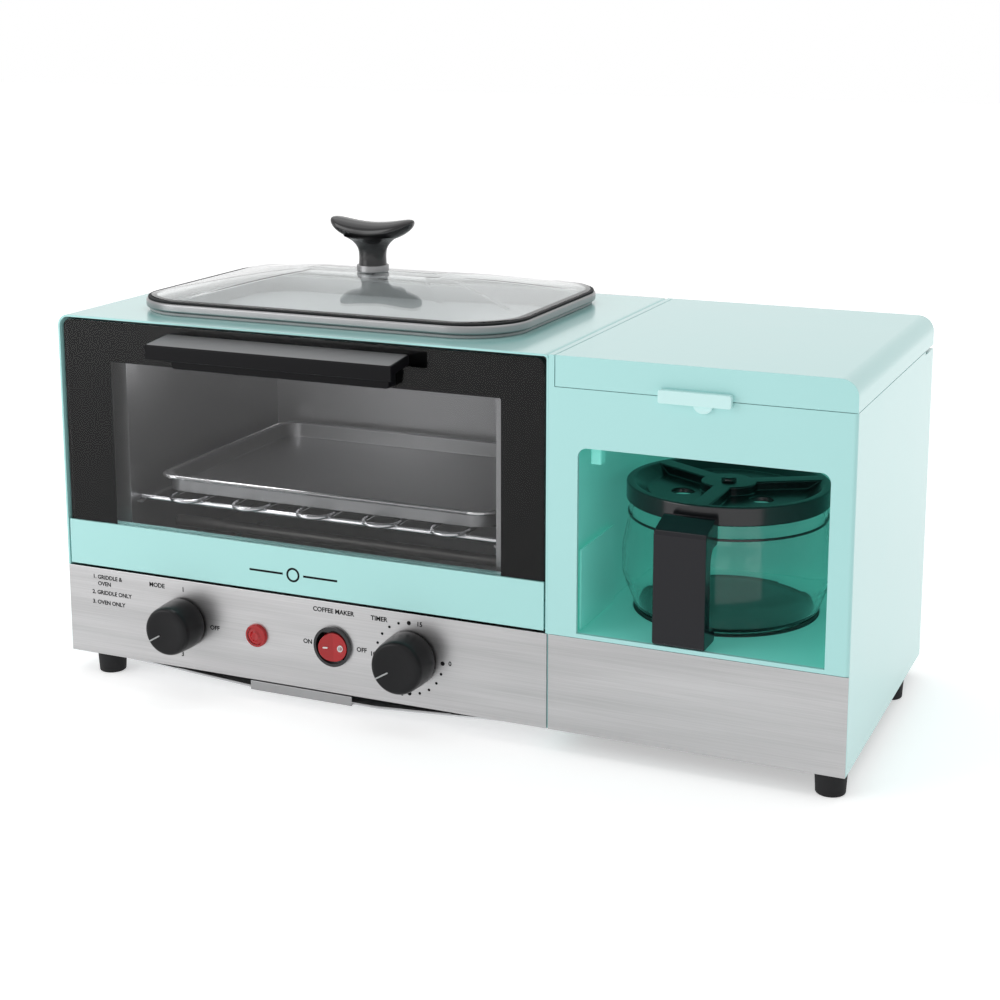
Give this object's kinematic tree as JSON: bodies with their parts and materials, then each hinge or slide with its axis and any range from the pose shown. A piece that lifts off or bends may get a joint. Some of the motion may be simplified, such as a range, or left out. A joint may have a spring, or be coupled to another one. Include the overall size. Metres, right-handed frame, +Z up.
{
  "type": "toaster oven",
  "caption": "Countertop toaster oven with a lidded griddle on top and a joined drip coffee maker with its carafe.",
  "frame": {"origin": "centre of the bounding box's base, on the table", "axes": "+X to the right as seen from the front, +Y to the back, +Z up; the front faces -Y"},
  "size_m": [0.465, 0.2162, 0.2688],
  "materials": {
    "mint_paint": "gloss baked paint",
    "mint_plastic": "satin gloss moulding",
    "brushed_steel": "brushed along X",
    "zinc_sheet": "plain plated sheet",
    "black_sheet": "satin black",
    "black_plastic": "fine texture",
    "liner_sheet": "satin aluminised sheet",
    "bright_band": "satin bright",
    "heater_sheath": "heat-darkened",
    "ceramic": "glazed white",
    "red_lens": "translucent red",
    "black_gloss": "gloss",
    "rubber": "matt",
    "screw_steel": "plated",
    "clear_plastic": "clear",
    "hotplate_coat": "non-stick",
    "boiler_alloy": "extruded",
    "silicone": "milky",
    "door_glass": "tempered with a black printed border",
    "chrome_wire": "bright plated wire",
    "griddle_coat": "dark non-stick",
    "clear_glass": "clear tempered"
  },
  "bodies": {
    "root": {"oven_housing": "mint_paint", "oven_back_cover": "zinc_sheet", "base_plate": "zinc_sheet", "control_panel": "brushed_steel", "control_bulkhead": "zinc_sheet", "cavity_liner": "liner_sheet", "hinge_brackets": "zinc_sheet", "upper_heaters": "heater_sheath", "lower_heaters": "heater_sheath", "heater_insulators": "ceramic", "mode_switch": "black_plastic", "timer_body": "black_plastic", "pilot_light": "red_lens", "rocker_bezel": "black_gloss", "feet": "rubber", "foot_screws": "screw_steel", "module_screws": "screw_steel", "coffee_housing": "mint_plastic", "coffee_base": "black_plastic", "coffee_back_cover": "mint_plastic", "coffee_panel": "brushed_steel", "bay_liner": "mint_plastic", "top_deck": "mint_plastic", "water_tank": "clear_plastic", "filter_basket": "black_plastic", "spray_head": "black_plastic", "hotplate": "hotplate_coat", "boiler_tube": "boiler_alloy", "water_hoses": "silicone", "cord_gland": "black_plastic", "back_screws": "screw_steel"},
    "door": {"door_glass": "door_glass", "door_rail": "mint_paint", "door_handle": "black_gloss", "door_handle_screws": "screw_steel", "door_hinge_pins": "screw_steel"},
    "rack": {"wire_rack": "chrome_wire"},
    "tray": {"baking_tray": "liner_sheet"},
    "crumb_drawer": {"crumb_tray": "liner_sheet"},
    "griddle": {"griddle_plate": "griddle_coat"},
    "lid": {"lid_rim": "bright_band", "lid_gasket": "rubber", "lid_glass": "clear_glass", "lid_collar": "bright_band", "lid_knob": "black_gloss", "lid_knob_screw": "screw_steel"},
    "mode_dial": {"mode_knob": "black_gloss", "mode_shaft": "screw_steel"},
    "timer_dial": {"timer_knob": "black_gloss", "timer_shaft": "screw_steel"},
    "rocker": {"rocker_button": "red_lens"},
    "cap": {"coffee_lid": "mint_plastic", "lid_tab": "mint_plastic", "coffee_lid_pins": "screw_steel"},
    "carafe": {"carafe_glass": "clear_glass", "carafe_band": "black_gloss", "carafe_handle": "black_gloss"},
    "carafe_cap": {"carafe_lid": "black_gloss"}
  },
  "joints": [
    {"name": "door_hinge", "type": "hinge", "parent": "root", "child": "door", "pos_m": [-0.08, -0.08245, 0.0715], "axis": [1, 0, 0], "range_deg": [0, 90]},
    {"name": "rack_slide", "type": "slide", "parent": "root", "child": "rack", "axis": [0, -1, 0], "range_m": [0, 0.065]},
    {"name": "tray_lift", "type": "slide", "parent": "rack", "child": "tray", "axis": [0, 0, 1], "range_m": [0, 0.03]},
    {"name": "crumb_tray_slide", "type": "slide", "parent": "root", "child": "crumb_drawer", "axis": [0, -1, 0], "range_m": [0, 0.15]},
    {"name": "griddle_lift", "type": "slide", "parent": "root", "child": "griddle", "axis": [0, 0, 1], "range_m": [0, 0.04]},
    {"name": "lid_lift", "type": "slide", "parent": "griddle", "child": "lid", "axis": [0, 0, 1], "range_m": [0, 0.06]},
    {"name": "mode_turn", "type": "hinge", "parent": "root", "child": "mode_dial", "pos_m": [-0.1533, -0.08745, 0.0398], "axis": [0, 1, 0], "range_deg": [-147, 123]},
    {"name": "timer_turn", "type": "hinge", "parent": "root", "child": "timer_dial", "pos_m": [-0.0079, -0.08745, 0.0398], "axis": [0, 1, 0], "range_deg": [-147, 123]},
    {"name": "rocker_tip", "type": "hinge", "parent": "root", "child": "rocker", "pos_m": [-0.0557, -0.08445, 0.0396], "axis": [0, 0, -1], "range_deg": [0, 22]},
    {"name": "coffee_lid_hinge", "type": "hinge", "parent": "root", "child": "cap", "pos_m": [0.1525, 0.10255, 0.2006], "axis": [-1, 0, 0], "range_deg": [0, 100]},
    {"name": "carafe_slide", "type": "slide", "parent": "root", "child": "carafe", "axis": [0, -1, 0], "range_m": [0, 0.15]},
    {"name": "carafe_lid_lift", "type": "slide", "parent": "carafe", "child": "carafe_cap", "axis": [0, 0, 1], "range_m": [0, 0.012]}
  ],
  "couplings": [
    {"joint": "rack_slide", "follows": "door_hinge", "m_per_rad": 0.04}
  ]
}
